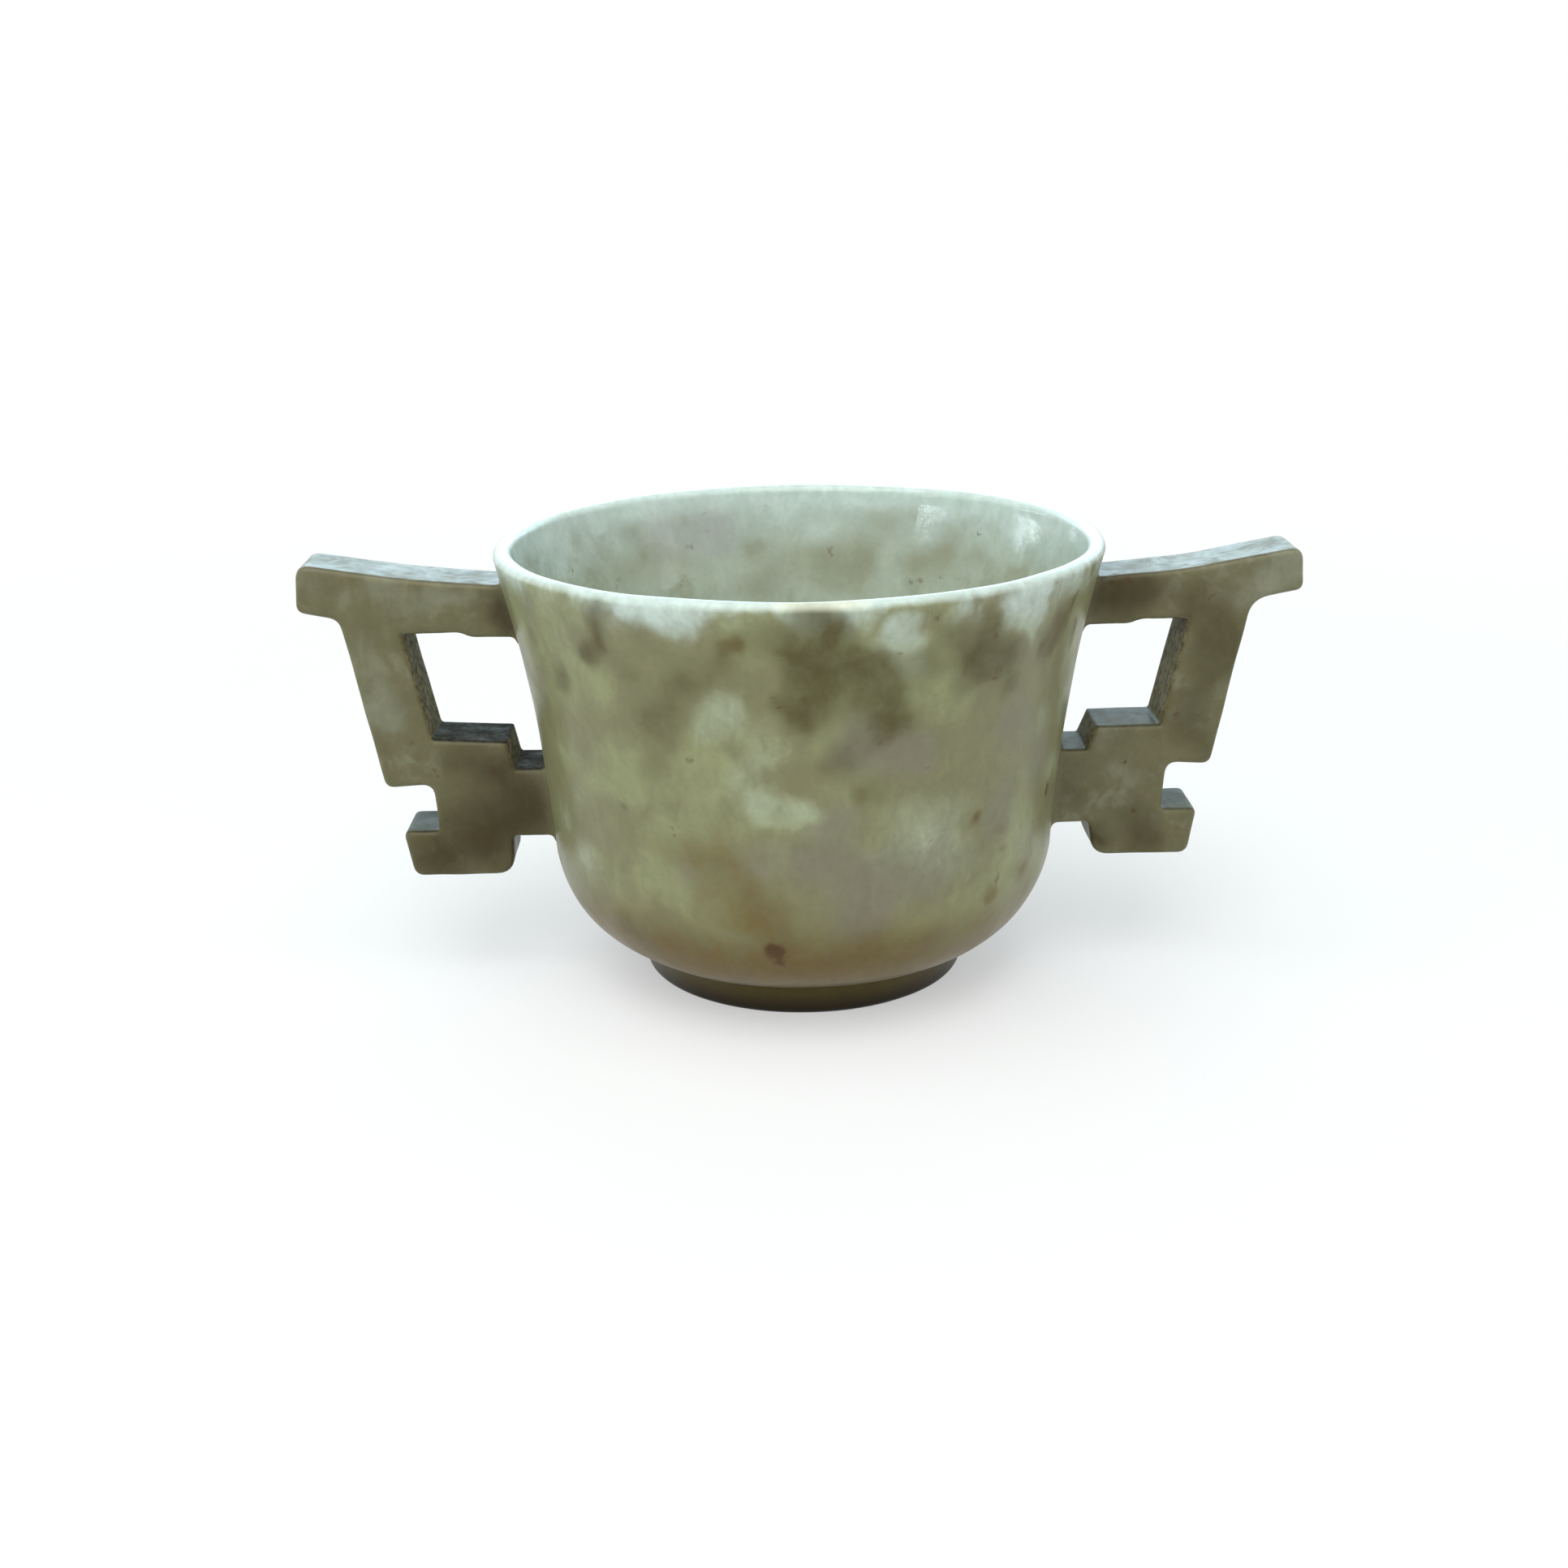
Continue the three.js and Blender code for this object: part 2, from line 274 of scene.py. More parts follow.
class Nodes:
    """The node tree of a finish or of the world."""

    def __init__(self, tree):
        self.tree = tree
        tree.nodes.clear()

    def add(self, kind, settings, inputs, output=0):
        """Adds any node: its settings first, then the values or links of its sockets."""
        made = self.tree.nodes.new(kind)
        for name, value in settings.items():
            setattr(made, name, value)
        for key, value in inputs.items():
            if isinstance(value, Value):
                self.tree.links.new(value.socket, made.inputs[key])
            else:
                made.inputs[key].default_value = value
        return Value(self, made.outputs[output]) if made.outputs else None

    def vector(self, operation, first, second, output=0):
        """The result of a Vector Math node; a distance is its output 1."""
        return self.add("ShaderNodeVectorMath", {"operation": operation}, {0: first, 1: second}, output)

    def scaled(self, vector, factor):
        """A vector or colour made longer or brighter."""
        inputs = {0: vector if isinstance(vector, Value) else vector[:3], "Scale": factor}
        return self.add("ShaderNodeVectorMath", {"operation": "SCALE"}, inputs)

    def mixed(self, factor, first, second):
        """A colour between two colours."""
        return self.add("ShaderNodeMix", {"data_type": "RGBA"}, {0: factor, 6: first, 7: second}, 2)

    def noise(self, place, offset, size, detail, roughness=0.55, output=0):
        """Fractal noise whose lumps are about size metres across."""
        inputs = {
            "Vector": self.vector("ADD", place, offset), "Scale": 1 / size,
            "Detail": detail, "Roughness": roughness,
        }
        return self.add("ShaderNodeTexNoise", {"noise_dimensions": "3D"}, inputs, output)

    def mark(self, name):
        """The number that the mesh carries under this name at each of its points."""
        return self.add("ShaderNodeAttribute", {"attribute_name": name}, {}, 2)

    def looked_at(self):
        """1 for what the camera sees, straight or in a reflection, and 0 for the light that it sheds."""
        seen = self.add("ShaderNodeLightPath", {}, {}, "Is Camera Ray")
        mirrored = self.add("ShaderNodeLightPath", {}, {}, "Is Glossy Ray")
        return seen.most(mirrored)

    def swirled(self, place, offset, size, reach):
        """The place moved about by up to half of reach, in swirls of the given size."""
        push = self.noise(place, offset, size, 2.0, output=1)
        push = self.scaled(self.vector("SUBTRACT", push, (0.5, 0.5, 0.5)), reach)
        return self.vector("ADD", place, push)


def four(colour):
    """A colour with full alpha."""
    return (*colour, 1.0)


# Markings in the bowl, each by its middle's x, y and z and its size, in mm, and its strength.
OLIVE_CLOUDS = [
    (-4, -37, 52, 3.5, 0.5), (-1, -36, 50, 3.2, 0.6), (2, -36, 48, 4.1, 0.65), (6, -35, 46, 3.8, 0.85),
    (0, -35, 44, 3.5, 0.7), (-1, -35, 42, 2.3, 0.6), (8, -35, 48, 2.6, 0.6), (9, -34, 44, 2.9, 0.7),
    (11, -33, 41, 2.3, 0.5), (3, -37, 52, 2.6, 0.7), (7, -34, 41, 2.6, 0.4), (1, -37, 55, 1.8, 0.8),
    (-8, -36, 50, 2, 0.5), (-10, -34, 48, 2.3, 0.5), (-13, -33, 46, 2.4, 0.6), (-15, -32, 44, 2.6, 0.5),
    (-17, -30, 41, 2.8, 0.6), (-18, -28, 34, 2.4, 0.4), (-23, -29, 52, 2.2, 0.6),
    (-25, -26, 48, 1.9, 0.8), (-23, -28, 49, 1.9, 0.6), (-20, -30, 46, 2, 0.4), (-32, -17, 48, 1.7, 0.4),
    (16, -33, 51, 2.1, 0.5), (19, -31, 49, 2.7, 0.6), (21, -30, 50, 2.2, 0.6), (23, -27, 47, 2.3, 0.75),
    (20, -29, 46, 2.7, 0.65), (17, -31, 47, 2.2, 0.5), (23, -26, 43, 2.1, 0.7), (-21, -23, 13, 2.2, 0.4),
    (-20, -22, 10, 2, 0.5), (-28, -20, 42, 2.4, 0.4), (4, -34, 37, 3.3, 0.45), (9, -33, 40, 2.2, 0.45),
    (-5, -32, 31, 0.6, 0.4), (-21, -25, 29, 0.9, 0.5), (13, -34, 48, 2.6, 0.55), (17, -31, 44, 2.2, 0.45),
    (-28, -21, 44, 2.6, 0.55), (7, -32, 32, 2.6, 0.5), (-16, -30, 37, 2.8, 0.25),
]
BROWN_CLOUDS = [
    (-13, -30, 26, 2.4, 0.4), (-11, -30, 24, 3.4, 0.45), (-9, -31, 21, 4, 0.5), (-5, -31, 17, 4, 0.6),
    (-1, -31, 13, 2.4, 0.6), (0, -29, 10, 2.8, 0.6), (-6, -29, 10, 2.8, 0.5), (-11, -28, 11, 2.8, 0.4),
    (20, -24, 14, 1.5, 0.6), (22, -22, 16, 1.7, 0.7), (18, -25, 12, 2, 0.5), (20, -26, 27, 1, 0.7),
    (23, -23, 25, 0.9, 0.5), (23, -22, 22, 0.8, 0.5), (-23, -28, 50, 1.8, 0.5), (20, -31, 52, 1.5, 0.5),
    (-8, -36, 50, 1.6, 0.8), (3, -37, 52, 1.6, 0.6), (-4, -30, 12, 2.6, 0.8), (-16, -28, 24, 3.1, 0.45),
    (-8, -31, 16, 2.8, 0.5), (-12, -29, 18, 2.8, 0.4), (-20, -23, 13, 2.6, 0.55), (26, -18, 17, 2.2, 0.8),
    (6, -33, 32, 1.5, 0.4),
]
STREAKS = [
    (27, -23, 47, 1, 0.8), (28, -22, 49, 1.1, 0.9), (30, -20, 49, 1, 0.9), (31, -19, 50, 0.9, 0.9),
    (28, -22, 44, 0.9, 0.6), (29, -21, 49, 1.1, 0.9), (29, -21, 46, 1.1, 0.8), (32, -16, 46, 0.9, 0.8),
    (33, -11, 42, 0.9, 0.5),
]
WARM_LIP = [
    (0, -37, 55, 3, 0.9), (4, -37, 55, 2.4, 0.7),
]
YELLOW_ZONES = [
    (-24, -26, 44, 3.5, 0.8), (-21, -26, 33, 4.4, 1), (-16, -29, 32, 2.6, 0.8), (16, -31, 43, 3.5, 0.8),
    (-28, -17, 33, 3.5, 0.9), (-4, -32, 25, 3.5, 0.5), (-25, -22, 31, 3.1, 0.7),
]
MAUVE_ZONES = [
    (6, -33, 39, 4.1, 0.8), (12, -32, 36, 3.8, 0.8), (24, -24, 38, 3.2, 0.8), (28, -18, 32, 2.9, 0.7),
    (3, -32, 29, 3.5, 0.8), (-6, -32, 24, 3.2, 0.6), (-13, -29, 22, 3.5, 0.6), (14, -29, 23, 4.6, 0.9),
    (-32, -19, 52, 2.6, 0.6), (6, -31, 17, 4.1, 0.8), (8, -31, 22, 4.4, 0.8), (1, -32, 24, 4, 0.7),
    (22, -23, 27, 3.3, 0.6),
]
# Pale patches, partly pale stone; those under the lip are partly a painted glow of light through the thin
# wall, and those at the right edge partly painted light on that side.
PALE_AND_LIT_PATCHES = [
    (-20, -32, 54, 2.2, 0.9), (-17, -33, 54, 2.6, 0.9), (-14, -35, 54, 2.4, 0.85),
    (-11, -36, 55, 1.8, 0.7), (-8, -37, 55, 1.5, 0.6), (-14, -34, 52, 2.4, 0.3), (25, -28, 52, 2.5, 1),
    (26, -26, 50, 2, 1), (23, -29, 53, 2.2, 1), (27, -26, 54, 1.5, 0.9), (10, -35, 51, 2.6, 1),
    (11, -34, 48, 2, 0.9), (9, -36, 53, 1.5, 0.6), (-10, -33, 42, 2.6, 0.8), (-9, -34, 44, 1.9, 0.7),
    (-12, -32, 40, 1.6, 0.6), (-5, -34, 40, 3, 0.35), (-4, -34, 37, 2.7, 0.4), (-7, -33, 36, 2.2, 0.4),
    (-8, -32, 33, 2.2, 0.45), (-5, -32, 31, 2.4, 1), (-1, -33, 30, 1.9, 0.8), (-3, -32, 29, 1.8, 0.5),
    (8, -34, 43, 0.9, 0.5), (12, -30, 26, 4.9, 0.6), (16, -28, 29, 3.8, 0.35), (-26, -18, 20, 2.8, 0.6),
    (-29, -14, 24, 2, 0.5), (-27, -17, 15, 1.8, 0.4), (18, -27, 22, 3.3, 0.5), (28, -19, 37, 2.4, 0.5),
    (31, -13, 37, 2.8, 0.5), (30, -13, 30, 2.8, 0.5), (-27, -18, 28, 2.6, 0.5), (24, -28, 54, 2.3, 1),
    (25, -20, 22, 2.6, 0.35),
]
# Pale zones near the inner lip: partly paler stone, partly painted reflections of the lamps.
INNER_PALE_AND_REFLECTIONS = [
    (-32, 14, 53, 3.2, 0.8), (-26, 23, 54, 2.3, 0.6), (-2, 35, 52, 3.1, 0.7), (3, 34, 48, 2.6, 0.6),
    (30, 17, 51, 2.9, 0.6), (21, 28, 53, 2.3, 0.5), (10, 34, 54, 2.3, 0.4), (-31, 15, 50, 3.4, 0.9),
    (-26, 22, 51, 2.9, 0.6), (29, 19, 53, 2.6, 0.6), (33, 10, 52, 2.6, 0.6), (23, 26, 53, 2.1, 0.9),
    (-33, 8, 51, 2.6, 0.6),
]
INNER_HAZE = [
    (-18, 30, 51, 3.4, 0.8), (-13, 32, 50, 3.4, 0.9), (-10, 32, 49, 2.9, 0.8), (-12, 33, 53, 2.9, 0.7),
    (-17, 29, 48, 2.6, 0.6), (15, 32, 53, 1.6, 0.3),
]
INNER_VEINS = [
    (21, 26, 47, 3.4, 0.8), (17, 28, 45, 3, 0.8), (13, 32, 51, 3.4, 0.55), (9, 32, 46, 3.1, 0.5),
    (25, 22, 47, 2.1, 0.6), (-6, 33, 47, 1.6, 0.6), (-24, 23, 47, 2.9, 0.4), (-20, 27, 47, 3.1, 0.6),
    (-22, 26, 51, 1.8, 0.5), (-16, 29, 46, 2.6, 0.5), (4, 33, 45, 3.4, 0.8), (9, 31, 44, 3.4, 0.6),
    (-2, 33, 44, 3.4, 0.5), (-5, 32, 42, 3.4, 0.5),
]
RUST_SPOTS = [
    (-3.9, -30.3, 12.5, 1.4, 1), (-3.5, -29.6, 10.9, 0.7, 0.8), (-4.6, -30.4, 13.2, 0.7, 0.6),
    (29.3, -13.7, 25.8, 0.6, 1), (29.5, -13.4, 26.7, 0.5, 0.8), (14.3, -34.3, 52.9, 0.5, 0.5),
    (19.7, -25.8, 27.2, 0.8, 0.5), (18.8, -24.2, 12.8, 0.7, 0.4), (6.6, -33.7, 40.5, 0.5, 0.4),
    (7.9, -33.1, 38.6, 0.6, 0.4), (9.1, -32.9, 39, 0.5, 0.4), (10, -32.7, 39.4, 0.5, 0.4),
    (-14.1, 30.5, 48.1, 0.6, 0.5), (-14.9, 30.1, 48.3, 0.4, 0.45), (-12.1, 31.8, 49.8, 0.5, 0.4),
    (16.2, 27.9, 43.1, 0.6, 0.5), (17.3, 27.3, 43.3, 0.6, 0.45), (19.9, 25.7, 44.1, 0.5, 0.45),
]
# Markings on the handles' front faces, each by x and z, size and strength.
HANDLE_RUST = [
    (42.6, 49.9, 0.7, 0.25), (40.5, 26.5, 0.4, 0.9), (41.9, 20.1, 0.4, 0.7), (47.8, 17.2, 1.3, 0.35),
    (-48.8, 30.9, 0.6, 0.5), (-38.9, 27.2, 0.8, 0.45),
]
HANDLE_PALE = [
    (-60, 52, 2.1, 0.5), (-51, 51, 2.6, 0.8), (-45, 50, 2, 0.8), (-42, 50, 1.8, 0.75),
    (-56, 49, 1.9, 0.5), (-54, 44, 2.4, 0.45), (-53, 40, 2.8, 0.7), (-52, 35, 2.8, 0.9),
    (-49, 27, 1.6, 0.2), (-48, 48, 2.4, 0.5), (-50, 30, 2, 0.3), (60, 51, 3.4, 1),
    (57, 49, 2.4, 0.85), (54, 47, 1.8, 0.6), (40, 26, 1.8, 0.7), (42, 24, 1.5, 0.6),
    (38, 30, 1.8, 0.6), (52, 51, 1.8, 0.5),
]
# Dark zones of the handles: partly darker stone, partly painted shade low on the handles and where the bars
# meet the wall.
HANDLE_DARK_AND_SHADE = [
    (-37, 48, 2.4, 0.5), (-35, 46, 3, 0.7), (-48, 44, 1.5, 0.4), (-35, 22, 5, 0.8),
    (-42, 20, 6.5, 0.6), (-47, 16, 4.4, 0.7), (-43, 29, 3.2, 0.45), (-39, 15, 3, 0.4),
    (38, 48, 4.4, 0.75), (42, 49, 3.4, 0.6), (49, 47, 3.6, 0.5), (49, 34, 3.4, 0.5),
    (48, 30, 2.6, 0.4), (51, 28, 2.1, 0.4), (34, 23, 2.6, 0.4), (37, 17, 1.6, 0.8), (43, 18, 4, 0.5),
    (52, 42, 4, 0.75), (-38, 28, 3, 0.6), (-40, 18, 3, 0.5), (-53, 46, 2.4, 0.3), (43, 16, 3, 0.4),
    (51, 38, 2.6, 0.35),
]


def on_handles(marks):
    """The handles' markings in the form of the bowl's."""
    return [(x, HANDLE_LOW.y / MM, z, size, strength) for x, z, size, strength in marks]


class Stone:
    """A finish in the making: its nodes, the jade's colours and the noises that break up its markings."""

    def __init__(self, name, colours, turned=True):
        self.material = bpy.data.materials.new(name)
        self.material.use_nodes = True
        self.colours = colours
        nodes = Nodes(self.material.node_tree)
        self.nodes = nodes
        self.place = nodes.add("ShaderNodeTexCoord", {}, {}, "Object")
        self.height = nodes.add("ShaderNodeSeparateXYZ", {}, {0: self.place}, 2)
        self.bent = nodes.swirled(self.place, (0.3, 0.1, 0.7), 6 * MM, 4.5 * MM)
        tilted = nodes.add("ShaderNodeMapping", {}, {
            "Vector": self.bent, "Rotation": (0.5, 0.7, 0.3), "Scale": (1.0, 1.0, 0.25),
        })
        self.broad = nodes.noise(self.place, (0.31, 0.12, 0.07), 24 * MM, 3.0)
        self.middle = nodes.noise(self.bent, (0.05, 0.41, 0.22), 9 * MM, 4.0, 0.55)
        self.small = nodes.noise(self.bent, (0.62, 0.15, 0.33), 3 * MM, 4.0, 0.6)
        self.fibre = nodes.noise(tilted, (0.44, 0.27, 0.11), 1.3 * MM, 4.0, 0.6)
        self.fine = nodes.noise(self.place, (0.17, 0.03, 0.52), 0.8 * MM, 3.0, 0.6)
        self.wave = nodes.noise(self.place, (0.7, 0.2, 0.9), 7 * MM, 2.0)
        self.ripple = nodes.noise(self.place, (0.1, 0.6, 0.4), 2.2 * MM, 3.0)
        self.edge = (self.middle - 0.5) * 0.6 + (self.small - 0.5) * 0.45 + (self.fibre - 0.5) * 0.3
        self.uneven = 1 + self.edge * 1.4
        self.shown = self.repeated(turned)

    def repeated(self, turned):
        """The place whose front markings show here: the back repeats them, turned round or mirrored."""
        depth = self.nodes.add("ShaderNodeSeparateXYZ", {}, {0: self.bent}, 1)
        front = depth.math("SIGN", depth) * -1
        signs = {0: front if turned else 1.0, 1: front, 2: 1.0}
        return self.nodes.vector("MULTIPLY", self.bent, self.nodes.add("ShaderNodeCombineXYZ", {}, signs))

    def clouds(self, spots, place=None):
        """Soft round clouds that deepen where they overlap."""
        clear = 1.0
        for x, y, z, size, strength in spots:
            middle = Vector((x, y, z)) * MM
            distance = self.nodes.vector("DISTANCE", place or self.shown, middle, 1)
            clear = distance.ramp(0.0, 1.8 * size * MM, 1 - strength, 1.0) * clear
        return 1 - clear

    def laid(self, under, amount, tint, most=0.95):
        """A tint over a colour where the amount of it, made uneven, is high."""
        share = (amount * self.uneven + self.edge * 0.3).ramp(0.05, 1.0, 0.0, most)
        return self.nodes.mixed(share, under, tint if isinstance(tint, Value) else four(tint))

    def bumped(self, relief):
        """The normal of a surface with a slight relief."""
        inputs = {"Strength": 0.5, "Distance": 0.25 * MM, "Height": relief}
        return self.nodes.add("ShaderNodeBump", {}, inputs)

    def polished(self, colour, gloss, bump, sheen, coat=0.0):
        """Polished stone that lets a little light in."""
        return self.nodes.add("ShaderNodeBsdfPrincipled", {}, {
            "Base Color": colour, "Roughness": gloss, "Normal": bump, "Coat Weight": coat,
            "IOR": 1.5, "Specular IOR Level": sheen, "Coat Roughness": 0.3,
            "Subsurface Weight": 0.25, "Subsurface Radius": (1.0, 1.1, 0.8), "Subsurface Scale": 1.6 * MM,
        })

    def done(self, surface):
        """Puts the surface on the material and hands the material over."""
        self.nodes.add("ShaderNodeOutputMaterial", {}, {"Surface": surface})
        return self.material


def ground(stone):
    """Celadon with its yellowish and lilac-grey zones."""
    colours = stone.colours
    yellow = stone.clouds(YELLOW_ZONES).most(stone.broad.ramp(0.46, 0.6) * 0.8)
    colour = stone.laid(four(colours.celadon), yellow, colours.yellow)
    return stone.laid(colour, stone.clouds(MAUVE_ZONES), colours.mauve, 0.9)


def milky_and_painted_light(stone, colour):
    """Milky patches, which grow into one pale and bluish band under the lip."""
    # Painted glow, in part: a pale band over the top 7.4 mm of the wall, turning bluish towards the rim.
    band = stone.height.ramp(RIM - 7.4 * MM, RIM + 0.6 * MM, 0.0, 0.6)
    band = band * stone.middle.ramp(0.38, 0.6, 0.4, 1.0)
    bluish = stone.height.ramp(RIM - 7.4 * MM, RIM - 0.9 * MM, 0.0, 0.95)
    milk = stone.nodes.mixed(bluish, four(stone.colours.pale), four(stone.colours.lip))
    return stone.laid(colour, stone.clouds(PALE_AND_LIT_PATCHES).most(band), milk, 0.9)


def browned_and_shaded(stone, colour):
    """Brownish stone that deepens towards the foot."""
    # Partly painted shade: the wall darkens from 21 mm down to 7.5 mm.
    low = stone.height.ramp(7.5 * MM, 21 * MM, 1.0, 0.0).most(stone.clouds(BROWN_CLOUDS))
    colour = stone.laid(colour, low, stone.colours.base, 0.9)
    # Partly painted shade: the foot's colour laid over the lowest 9 mm of the wall.
    return stone.laid(colour, stone.height.ramp(4 * MM, 9 * MM, 0.6, 0.0), stone.colours.foot)


def clouded(stone, colour, olive):
    """Upright brown streaks at one side, and the olive-brown clouds."""
    squeezed = 0.35
    tall = stone.nodes.vector("MULTIPLY", stone.shown, (1, 1, squeezed))
    streaks = stone.clouds([(x, y, squeezed * z, *rest) for x, y, z, *rest in STREAKS], tall)
    colour = stone.laid(colour, streaks * 0.6, stone.colours.base)
    return stone.laid(colour, olive.most(streaks * 0.7), stone.colours.olive)


def lining_and_painted_light(stone):
    """The pale inner wall: greener lower down, bluish at the lip, with hazy, pale and olive zones."""
    nodes, height, colours = stone.nodes, stone.height, stone.colours
    upper = height.ramp(RIM - 9.4 * MM, RIM - 4.4 * MM)
    colour = nodes.mixed(upper, four(colours.hollow), four(colours.inside))
    colour = stone.laid(colour, stone.clouds(INNER_HAZE, stone.bent), colours.haze)
    # Pale zones, partly painted reflections.
    colour = stone.laid(colour, stone.clouds(INNER_PALE_AND_REFLECTIONS, stone.bent), colours.lip, 0.6)
    veins = stone.clouds(INNER_VEINS, stone.bent).most((1 - stone.middle).ramp(0.5, 0.66, 0.0, 0.6))
    colour = stone.laid(colour, veins, colours.vein, 0.75)
    # Partly painted glow: the lip's bluish colour over the top 4.4 mm of the inner wall.
    return nodes.mixed(height.ramp(RIM - 4.4 * MM, RIM - 0.4 * MM), colour, four(colours.lip))


def lip_and_painted_sheen(stone, colour, olive):
    """Thin bluish stone along the lip, warmer at its front and duller in the olive clouds."""
    # Partly painted highlight and glow over the top 1.2 mm of the lip.
    thin = (stone.height + stone.edge * MM).ramp(RIM - 1.2 * MM, RIM - 0.1 * MM, 0.0, 0.9)
    warm = stone.clouds(WARM_LIP, stone.bent)
    lip = stone.nodes.mixed(warm, four(stone.colours.lip), four(stone.colours.cream))
    return stone.nodes.mixed(thin * (1 - olive * 0.3), colour, lip)


def rusted(stone, colour, spots):
    """Iron stains and pits, a scatter of dark specks, and the grain's own light and shade."""
    jagged = stone.nodes.swirled(stone.place, (0.2, 0.8, 0.1), 1.2 * MM, 1.4 * MM)
    rust = (stone.clouds(spots, jagged) + (stone.fine - 0.5) * 0.7).ramp(0.15, 0.9, 0.0, 0.9)
    specks = stone.small.ramp(0.68, 0.76, 0.0, 0.5)
    colour = stone.nodes.mixed(rust.most(specks), colour, four(stone.colours.rust))
    shade = 1 + (stone.small - 0.5) * 0.35 + (stone.fibre - 0.5) * 0.25 + (stone.fine - 0.5) * 0.2
    return stone.nodes.scaled(colour, shade)


def bowl_jade(colours):
    """Celadon with milky, lilac and olive-brown clouds, a pale glossy inside and a bluish lip."""
    stone = Stone("bowl_jade", colours)
    olive = stone.clouds(OLIVE_CLOUDS)
    inside = stone.nodes.mark("inside")
    colour = clouded(stone, browned_and_shaded(stone, milky_and_painted_light(stone, ground(stone))), olive)
    colour = stone.nodes.mixed(inside * 0.92, colour, lining_and_painted_light(stone))
    colour = rusted(stone, lip_and_painted_sheen(stone, colour, olive), RUST_SPOTS)
    gloss = stone.middle.ramp(0.3, 0.7, 0.3, 0.42) - inside * 0.23
    relief = stone.wave * 0.8 + stone.ripple * 0.2 + stone.fine * 0.015 + stone.ripple * inside * 0.15
    return stone.done(stone.polished(colour, gloss, stone.bumped(relief), 0.3))


def foot_jade(colours):
    """The dark stone of the foot ring, darkest at its resting face."""
    stone = Stone("foot_jade", colours)
    # Painted contact shadow: near black at the resting face, easing to the foot's colour 3.6 mm up.
    ring = stone.nodes.mixed(stone.height.ramp(0.3 * MM, 3.6 * MM), four(colours.contact_shadow), four(colours.foot))
    colour = stone.nodes.mixed(0.92, browned_and_shaded(stone, ground(stone)), ring)
    colour = rusted(stone, colour, RUST_SPOTS)
    gloss = stone.middle.ramp(0.3, 0.7, 0.3, 0.42)
    bump = stone.bumped(stone.wave * 0.8 + stone.ripple * 0.2 + stone.fine * 0.015)
    return stone.done(stone.polished(colour, gloss, bump, 0.2))


def handle_jade(colours):
    """Denser stone, with a thin gloss on the bars' tops and saw-cut faces in the openwork."""
    stone = Stone("handle_jade", colours, turned=False)
    nodes = stone.nodes
    mottles = (stone.middle * 0.5 + stone.small * 0.5).ramp(0.45, 0.62, 0.0, 0.45)
    # The handles' darker colour is partly painted shade.
    colour = nodes.mixed(0.85, ground(stone), four(colours.handle))
    colour = stone.laid(colour, stone.clouds(on_handles(HANDLE_PALE)).most(mottles), colours.ash)
    # Dark zones, partly painted shade.
    colour = stone.laid(colour, stone.clouds(on_handles(HANDLE_DARK_AND_SHADE)), colours.dark, 0.9)
    colour = rusted(stone, colour, on_handles(HANDLE_RUST))
    facing = nodes.add("ShaderNodeTexCoord", {}, {}, "Normal")
    upward = nodes.add("ShaderNodeSeparateXYZ", {}, {0: facing}, 2)
    top = upward.ramp(0.6, 0.9) * stone.height.ramp(RIM - 10.4 * MM, RIM - 8.4 * MM)
    # Painted shade: the bars' upward faces are darkened so the coat's reflection shows over them.
    colour = nodes.mixed(top * 0.4, colour, four(colours.dark))
    coat = top * (stone.fibre * 0.5 + stone.middle * 0.5).ramp(0.42, 0.6, 0.0, 0.4)
    gloss = stone.small.ramp(0.3, 0.7, 0.3, 0.46)
    bump = stone.bumped(stone.wave * 0.5 + stone.ripple * 0.3 + stone.fine * 0.08)
    # Upward faces of the openwork take the worked colour: partly rough saw-cut stone, partly painted shade
    # under the bar above.
    sawn = nodes.mixed(upward.ramp(0.3, 0.8), four(colours.stain), four(colours.worked))
    sawn = nodes.add("ShaderNodeBsdfPrincipled", {}, {
        "Base Color": nodes.scaled(sawn, stone.fine.ramp(0.3, 0.7, 0.5, 1.6)),
        "Roughness": stone.ripple.ramp(0.3, 0.7, 0.5, 0.8), "Normal": bump, "Specular IOR Level": 0.03,
    })
    polished = stone.polished(colour, gloss, bump, 0.2, coat)
    return stone.done(nodes.add("ShaderNodeMixShader", {}, {0: nodes.mark("worked"), 1: polished, 2: sawn}))


# Meshes


def bezier(start, pull, push, end, steps):
    """Points along a cubic curve, from start to end."""
    points = []
    for i in range(steps + 1):
        t = i / steps
        weights = ((1 - t) ** 3, 3 * t * (1 - t) ** 2, 3 * t * t * (1 - t), t**3)
        points.append(tuple(
            sum(w * p[axis] for w, p in zip(weights, (start, pull, push, end))) for axis in (0, 1)
        ))
    return points


def outer_wall(cup, steps):
    """Outer profile of the bowl as (radius, height), from the foot's joint to the lip."""
    side = cup.height - cup.belly_height
    flare = cup.rim_radius - cup.belly_radius
    turn = cup.belly_radius - cup.foot_radius
    rise = cup.belly_height - cup.foot_height
    base = bezier(
        (cup.foot_radius, cup.foot_height),
        (cup.foot_radius + 0.44 * turn, cup.foot_height + 0.08 * rise),
        (cup.belly_radius - 0.1 * turn, cup.foot_height + 0.43 * rise),
        (cup.belly_radius, cup.belly_height),
        steps,
    )
    wall = bezier(
        (cup.belly_radius, cup.belly_height),
        (cup.belly_radius + 0.17 * flare, cup.belly_height + 0.42 * side),
        (cup.belly_radius + 0.44 * flare, cup.belly_height + 0.63 * side),
        (cup.rim_radius, cup.height - cup.lip_roll),
        steps,
    )
    return base + wall[1:]


